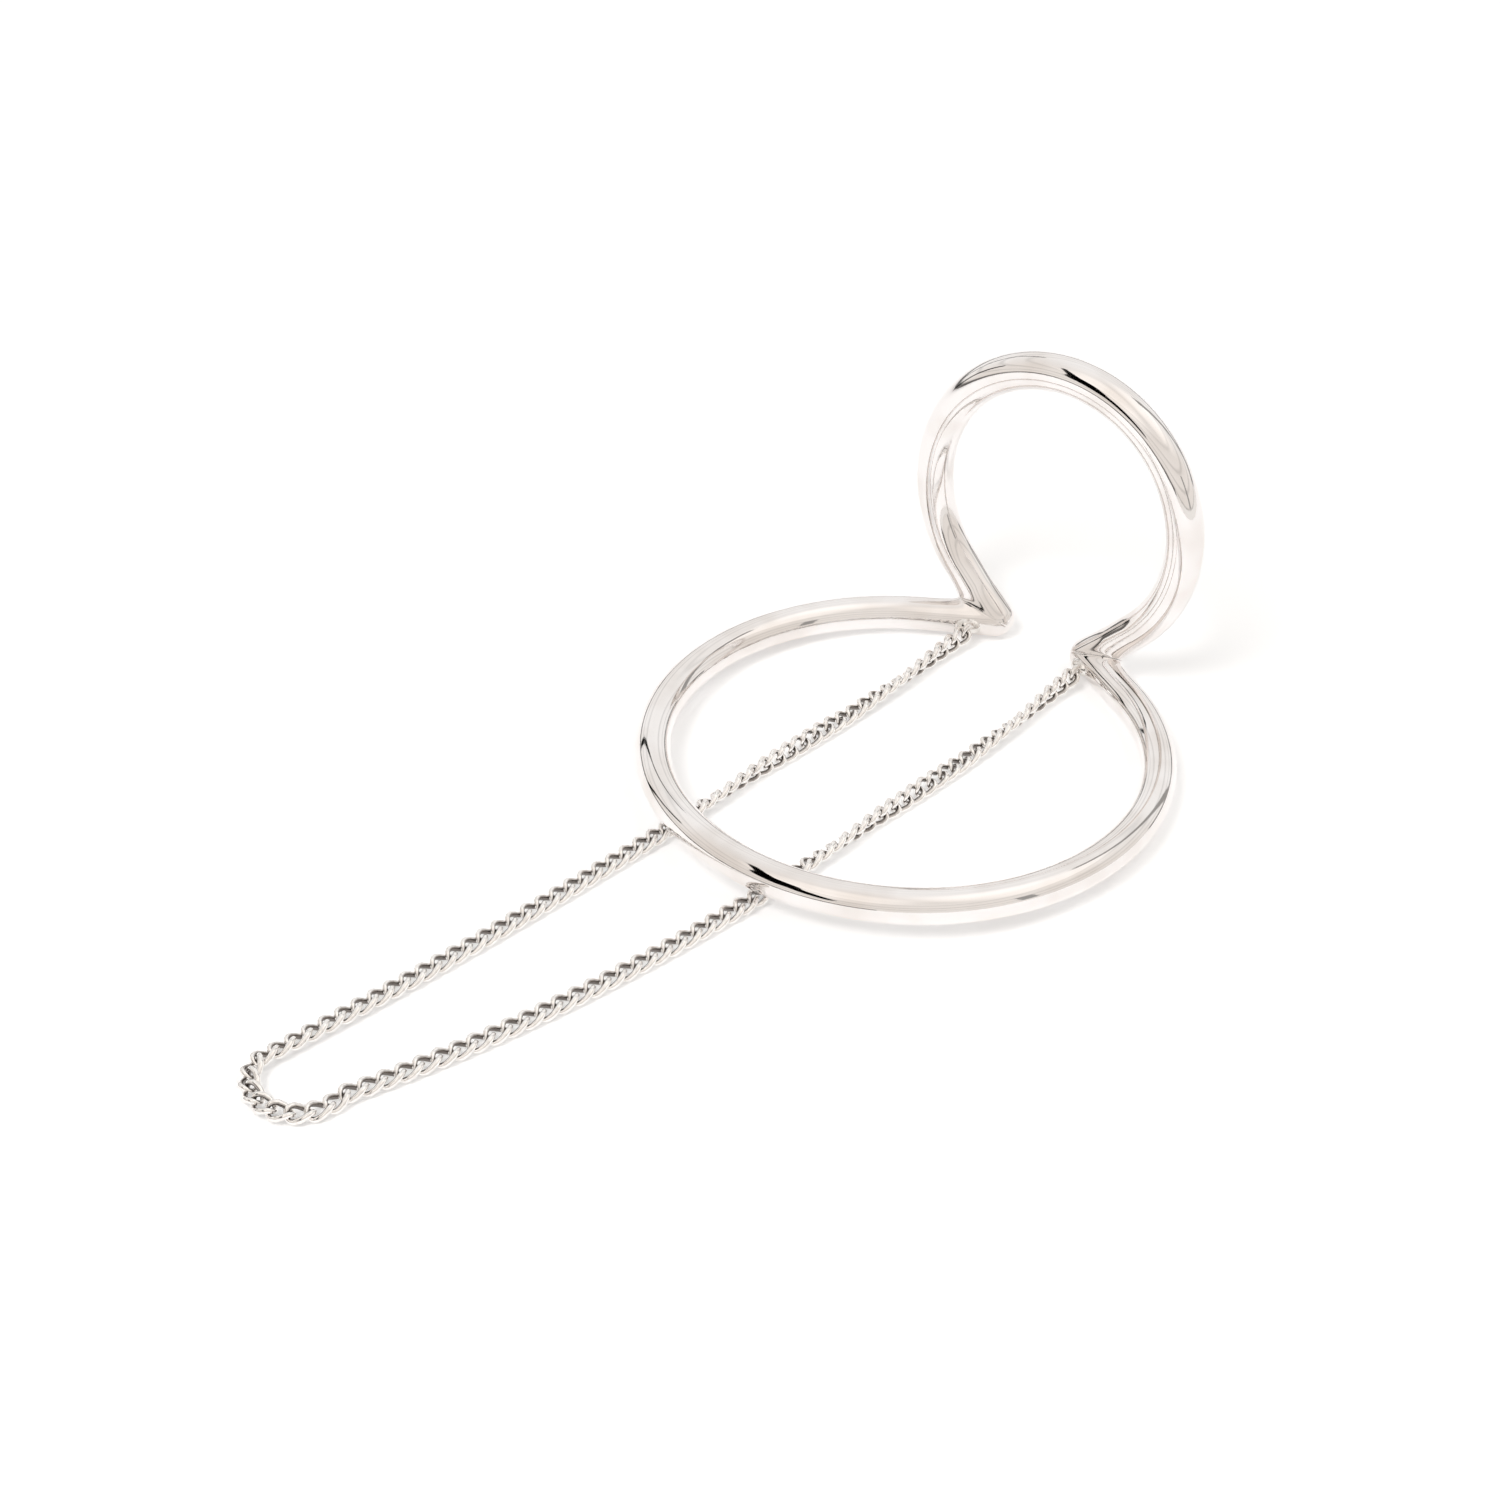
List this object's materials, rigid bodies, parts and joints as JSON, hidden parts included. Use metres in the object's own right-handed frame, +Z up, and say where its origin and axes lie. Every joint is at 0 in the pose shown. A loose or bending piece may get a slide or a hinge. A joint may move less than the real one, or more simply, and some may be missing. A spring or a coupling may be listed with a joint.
{
  "type": "double hoop ring with chain loop",
  "caption": "Polished silver open double hoop: a large hoop and an upright finger hoop joined at two mitred elbows, with a curb chain loop hung from the elbows.",
  "frame": {"origin": "on the table under the middle of the whole length, laid down as it rests", "axes": "+X from the chain's tip to the finger hoop, +Y to the left strand's side, +Z up from the table"},
  "size_m": [0.0706, 0.0362, 0.0228],
  "materials": {
    "hoop_silver": "mirror polished sterling silver wire",
    "lug_silver": "bright silver solder bead and end ring",
    "chain_silver": "tumble polished silver curb links"
  },
  "bodies": {
    "frame": {"large_hoop": "hoop_silver", "small_hoop": "hoop_silver", "left_lug": "lug_silver", "right_lug": "lug_silver"},
    "pair_01": {"link_pair_01": "chain_silver"},
    "pair_02": {"link_pair_02": "chain_silver"},
    "pair_03": {"link_pair_03": "chain_silver"},
    "pair_04": {"link_pair_04": "chain_silver"},
    "pair_05": {"link_pair_05": "chain_silver"},
    "pair_06": {"link_pair_06": "chain_silver"},
    "pair_07": {"link_pair_07": "chain_silver"},
    "pair_08": {"link_pair_08": "chain_silver"},
    "pair_09": {"link_pair_09": "chain_silver"},
    "pair_10": {"link_pair_10": "chain_silver"},
    "pair_11": {"link_pair_11": "chain_silver"},
    "pair_12": {"link_pair_12": "chain_silver"},
    "pair_13": {"link_pair_13": "chain_silver"},
    "pair_14": {"link_pair_14": "chain_silver"},
    "pair_15": {"link_pair_15": "chain_silver"},
    "pair_16": {"link_pair_16": "chain_silver"},
    "pair_17": {"link_pair_17": "chain_silver"},
    "pair_18": {"link_pair_18": "chain_silver"},
    "pair_19": {"link_pair_19": "chain_silver"},
    "pair_20": {"link_pair_20": "chain_silver"},
    "pair_21": {"link_pair_21": "chain_silver"},
    "pair_22": {"link_pair_22": "chain_silver"},
    "pair_23": {"link_pair_23": "chain_silver"},
    "pair_24": {"link_pair_24": "chain_silver"},
    "pair_25": {"link_pair_25": "chain_silver"},
    "pair_26": {"link_pair_26": "chain_silver"},
    "pair_27": {"link_pair_27": "chain_silver"},
    "pair_28": {"link_pair_28": "chain_silver"},
    "pair_29": {"link_pair_29": "chain_silver"},
    "pair_30": {"link_pair_30": "chain_silver"},
    "pair_31": {"link_pair_31": "chain_silver"},
    "pair_32": {"link_pair_32": "chain_silver"},
    "pair_33": {"link_pair_33": "chain_silver"},
    "pair_34": {"link_pair_34": "chain_silver"},
    "pair_35": {"link_pair_35": "chain_silver"},
    "pair_36": {"link_pair_36": "chain_silver"},
    "pair_37": {"link_pair_37": "chain_silver"},
    "pair_38": {"link_pair_38": "chain_silver"},
    "pair_39": {"link_pair_39": "chain_silver"},
    "pair_40": {"link_pair_40": "chain_silver"},
    "pair_41": {"link_pair_41": "chain_silver"},
    "pair_42": {"link_pair_42": "chain_silver"},
    "pair_43": {"link_pair_43": "chain_silver"},
    "pair_44": {"link_pair_44": "chain_silver"},
    "pair_45": {"link_pair_45": "chain_silver"},
    "pair_46": {"link_pair_46": "chain_silver"},
    "pair_47": {"link_pair_47": "chain_silver"},
    "pair_48": {"link_pair_48": "chain_silver"},
    "pair_49": {"link_pair_49": "chain_silver"},
    "pair_50": {"link_pair_50": "chain_silver"},
    "pair_51": {"link_pair_51": "chain_silver"},
    "pair_52": {"link_pair_52": "chain_silver"},
    "tip": {"tip_links": "chain_silver"}
  },
  "joints": [
    {"name": "pair_01_swing", "type": "hinge", "parent": "frame", "child": "pair_01", "pos_m": [0.02952, 0.00026, 0.0012], "axis": [0.02, -0.9998, 0], "range_deg": [0, 20]},
    {"name": "pair_02_swing", "type": "hinge", "parent": "pair_01", "child": "pair_02", "pos_m": [0.02833, 0.00039, 0.00109], "axis": [-0.0195, 0.9998, 0], "range_deg": [-20, 0]},
    {"name": "pair_03_swing", "type": "hinge", "parent": "pair_02", "child": "pair_03", "pos_m": [0.02714, 0.00052, 0.001], "axis": [0.019, -0.9998, 0], "range_deg": [0, 20]},
    {"name": "pair_04_swing", "type": "hinge", "parent": "pair_03", "child": "pair_04", "pos_m": [0.02595, 0.00065, 0.0009], "axis": [-0.0185, 0.9998, 0], "range_deg": [-20, 0]},
    {"name": "pair_05_swing", "type": "hinge", "parent": "pair_04", "child": "pair_05", "pos_m": [0.02475, 0.00078, 0.0008], "axis": [0.018, -0.9998, 0], "range_deg": [0, 20]},
    {"name": "pair_06_swing", "type": "hinge", "parent": "pair_05", "child": "pair_06", "pos_m": [0.02356, 0.00091, 0.00072], "axis": [-0.0175, 0.9998, 0], "range_deg": [-20, 0]},
    {"name": "pair_07_swing", "type": "hinge", "parent": "pair_06", "child": "pair_07", "pos_m": [0.02237, 0.00104, 0.00069], "axis": [0.017, -0.9999, 0], "range_deg": [0, 20]},
    {"name": "pair_08_swing", "type": "hinge", "parent": "pair_07", "child": "pair_08", "pos_m": [0.02117, 0.00117, 0.00068], "axis": [-0.0166, 0.9999, 0], "range_deg": [-20, 0]},
    {"name": "pair_09_swing", "type": "hinge", "parent": "pair_08", "child": "pair_09", "pos_m": [0.01998, 0.00131, 0.00064], "axis": [0.0162, -0.9999, 0], "range_deg": [0, 20]},
    {"name": "pair_10_swing", "type": "hinge", "parent": "pair_09", "child": "pair_10", "pos_m": [0.01879, 0.00144, 0.00057], "axis": [-0.0158, 0.9999, 0], "range_deg": [-20, 0]},
    {"name": "pair_11_swing", "type": "hinge", "parent": "pair_10", "child": "pair_11", "pos_m": [0.0176, 0.00158, 0.00048], "axis": [0.0154, -0.9999, 0], "range_deg": [0, 20]},
    {"name": "pair_12_swing", "type": "hinge", "parent": "pair_11", "child": "pair_12", "pos_m": [0.01641, 0.00172, 0.00057], "axis": [-0.0151, 0.9999, 0], "range_deg": [-20, 0]},
    {"name": "pair_13_swing", "type": "hinge", "parent": "pair_12", "child": "pair_13", "pos_m": [0.01521, 0.00186, 0.00064], "axis": [0.0147, -0.9999, 0], "range_deg": [0, 20]},
    {"name": "pair_14_swing", "type": "hinge", "parent": "pair_13", "child": "pair_14", "pos_m": [0.01402, 0.00201, 0.00068], "axis": [-0.0144, 0.9999, 0], "range_deg": [-20, 0]},
    {"name": "pair_15_swing", "type": "hinge", "parent": "pair_14", "child": "pair_15", "pos_m": [0.01283, 0.00215, 0.00069], "axis": [0.0142, -0.9999, 0], "range_deg": [0, 20]},
    {"name": "pair_16_swing", "type": "hinge", "parent": "pair_15", "child": "pair_16", "pos_m": [0.01164, 0.0023, 0.0007], "axis": [-0.014, 0.9999, 0], "range_deg": [-20, 0]},
    {"name": "pair_17_swing", "type": "hinge", "parent": "pair_16", "child": "pair_17", "pos_m": [0.01045, 0.00246, 0.00074], "axis": [0.0138, -0.9999, 0], "range_deg": [0, 20]},
    {"name": "pair_18_swing", "type": "hinge", "parent": "pair_17", "child": "pair_18", "pos_m": [0.00926, 0.00261, 0.00078], "axis": [-0.0137, 0.9999, 0], "range_deg": [-20, 0]},
    {"name": "pair_19_swing", "type": "hinge", "parent": "pair_18", "child": "pair_19", "pos_m": [0.00807, 0.00277, 0.00078], "axis": [0.0136, -0.9999, 0], "range_deg": [0, 20]},
    {"name": "pair_20_swing", "type": "hinge", "parent": "pair_19", "child": "pair_20", "pos_m": [0.00688, 0.00293, 0.00074], "axis": [-0.0136, 0.9999, 0], "range_deg": [-20, 0]},
    {"name": "pair_21_swing", "type": "hinge", "parent": "pair_20", "child": "pair_21", "pos_m": [0.00569, 0.0031, 0.0007], "axis": [0.0136, -0.9999, 0], "range_deg": [0, 20]},
    {"name": "pair_22_swing", "type": "hinge", "parent": "pair_21", "child": "pair_22", "pos_m": [0.00451, 0.00327, 0.00069], "axis": [-0.0137, 0.9999, 0], "range_deg": [-20, 0]},
    {"name": "pair_23_swing", "type": "hinge", "parent": "pair_22", "child": "pair_23", "pos_m": [0.00332, 0.00345, 0.00068], "axis": [0.0139, -0.9999, 0], "range_deg": [0, 20]},
    {"name": "pair_24_swing", "type": "hinge", "parent": "pair_23", "child": "pair_24", "pos_m": [0.00213, 0.00362, 0.00064], "axis": [-0.0142, 0.9999, 0], "range_deg": [-20, 0]},
    {"name": "pair_25_swing", "type": "hinge", "parent": "pair_24", "child": "pair_25", "pos_m": [0.00095, 0.00381, 0.00057], "axis": [0.0146, -0.9999, 0], "range_deg": [0, 20]},
    {"name": "pair_26_swing", "type": "hinge", "parent": "pair_25", "child": "pair_26", "pos_m": [-0.00024, 0.004, 0.00048], "axis": [-0.015, 0.9999, 0], "range_deg": [-20, 0]},
    {"name": "pair_27_swing", "type": "hinge", "parent": "pair_26", "child": "pair_27", "pos_m": [-0.00142, 0.00419, 0.00048], "axis": [0.0156, -0.9999, 0], "range_deg": [0, 20]},
    {"name": "pair_28_swing", "type": "hinge", "parent": "pair_27", "child": "pair_28", "pos_m": [-0.00261, 0.00439, 0.00048], "axis": [-0.0163, 0.9999, 0], "range_deg": [-20, 0]},
    {"name": "pair_29_swing", "type": "hinge", "parent": "pair_28", "child": "pair_29", "pos_m": [-0.00379, 0.00459, 0.00048], "axis": [0.0171, -0.9999, 0], "range_deg": [-25, 25]},
    {"name": "pair_30_swing", "type": "hinge", "parent": "pair_29", "child": "pair_30", "pos_m": [-0.00497, 0.0048, 0.00048], "axis": [-0.0181, 0.9998, 0], "range_deg": [-25, 25]},
    {"name": "pair_31_swing", "type": "hinge", "parent": "pair_30", "child": "pair_31", "pos_m": [-0.00615, 0.00502, 0.00048], "axis": [0.0192, -0.9998, 0], "range_deg": [-25, 25]},
    {"name": "pair_32_swing", "type": "hinge", "parent": "pair_31", "child": "pair_32", "pos_m": [-0.00733, 0.00524, 0.00048], "axis": [-0.0206, 0.9998, 0], "range_deg": [-25, 25]},
    {"name": "pair_33_swing", "type": "hinge", "parent": "pair_32", "child": "pair_33", "pos_m": [-0.00851, 0.00547, 0.00048], "axis": [0.0221, -0.9998, 0], "range_deg": [-25, 25]},
    {"name": "pair_34_swing", "type": "hinge", "parent": "pair_33", "child": "pair_34", "pos_m": [-0.00968, 0.0057, 0.00048], "axis": [-0.0238, 0.9997, 0], "range_deg": [-25, 25]},
    {"name": "pair_35_swing", "type": "hinge", "parent": "pair_34", "child": "pair_35", "pos_m": [-0.01086, 0.00594, 0.00048], "axis": [0.0258, -0.9997, 0], "range_deg": [-25, 25]},
    {"name": "pair_36_swing", "type": "hinge", "parent": "pair_35", "child": "pair_36", "pos_m": [-0.01203, 0.00619, 0.00048], "axis": [-0.028, 0.9996, 0], "range_deg": [-25, 25]},
    {"name": "pair_37_swing", "type": "hinge", "parent": "pair_36", "child": "pair_37", "pos_m": [-0.0132, 0.00644, 0.00048], "axis": [0.0306, -0.9995, 0], "range_deg": [-25, 25]},
    {"name": "pair_38_swing", "type": "hinge", "parent": "pair_37", "child": "pair_38", "pos_m": [-0.01437, 0.0067, 0.00048], "axis": [-0.0334, 0.9994, 0], "range_deg": [-25, 25]},
    {"name": "pair_39_swing", "type": "hinge", "parent": "pair_38", "child": "pair_39", "pos_m": [-0.01554, 0.00697, 0.00048], "axis": [0.0367, -0.9993, 0], "range_deg": [-25, 25]},
    {"name": "pair_40_swing", "type": "hinge", "parent": "pair_39", "child": "pair_40", "pos_m": [-0.01671, 0.00724, 0.00048], "axis": [-0.0403, 0.9992, 0], "range_deg": [-25, 25]},
    {"name": "pair_41_swing", "type": "hinge", "parent": "pair_40", "child": "pair_41", "pos_m": [-0.01787, 0.00753, 0.00048], "axis": [0.0444, -0.999, 0], "range_deg": [-25, 25]},
    {"name": "pair_42_swing", "type": "hinge", "parent": "pair_41", "child": "pair_42", "pos_m": [-0.01904, 0.00782, 0.00048], "axis": [-0.049, 0.9988, 0], "range_deg": [-25, 25]},
    {"name": "pair_43_swing", "type": "hinge", "parent": "pair_42", "child": "pair_43", "pos_m": [-0.0202, 0.00812, 0.00049], "axis": [0.0542, -0.9985, -0.0022], "range_deg": [-25, 25]},
    {"name": "pair_44_swing", "type": "hinge", "parent": "pair_43", "child": "pair_44", "pos_m": [-0.02135, 0.00842, 0.0005], "axis": [-0.06, 0.9982, 0.0045], "range_deg": [-25, 25]},
    {"name": "pair_45_swing", "type": "hinge", "parent": "pair_44", "child": "pair_45", "pos_m": [-0.02251, 0.00874, 0.00051], "axis": [0.0665, -0.9978, -0.0067], "range_deg": [-25, 25]},
    {"name": "pair_46_swing", "type": "hinge", "parent": "pair_45", "child": "pair_46", "pos_m": [-0.02366, 0.00906, 0.00052], "axis": [-0.0738, 0.9972, 0.0089], "range_deg": [-25, 25]},
    {"name": "pair_47_swing", "type": "hinge", "parent": "pair_46", "child": "pair_47", "pos_m": [-0.02481, 0.00939, 0.00053], "axis": [0.082, -0.9966, -0.0104], "range_deg": [-25, 25]},
    {"name": "pair_48_swing", "type": "hinge", "parent": "pair_47", "child": "pair_48", "pos_m": [-0.02596, 0.00973, 0.00054], "axis": [-0.0912, 0.9958, 0.0118], "range_deg": [-25, 25]},
    {"name": "pair_49_swing", "type": "hinge", "parent": "pair_48", "child": "pair_49", "pos_m": [-0.0271, 0.01008, 0.00055], "axis": [0.1016, -0.9947, -0.0132], "range_deg": [-25, 25]},
    {"name": "pair_50_swing", "type": "hinge", "parent": "pair_49", "child": "pair_50", "pos_m": [-0.02824, 0.01044, 0.00056], "axis": [-0.1133, 0.9935, 0.0146], "range_deg": [-25, 25]},
    {"name": "pair_51_swing", "type": "hinge", "parent": "pair_50", "child": "pair_51", "pos_m": [-0.02938, 0.01081, 0.00056], "axis": [0.1265, -0.9918, -0.0159], "range_deg": [-25, 25]},
    {"name": "pair_52_swing", "type": "hinge", "parent": "pair_51", "child": "pair_52", "pos_m": [-0.03051, 0.01119, 0.00057], "axis": [-0.1413, 0.9898, 0.0173], "range_deg": [-25, 25]},
    {"name": "tip_swing", "type": "hinge", "parent": "pair_52", "child": "tip", "pos_m": [-0.03164, 0.01157, 0.00058], "axis": [0.1582, -0.9872, -0.0186], "range_deg": [-25, 25]}
  ]
}
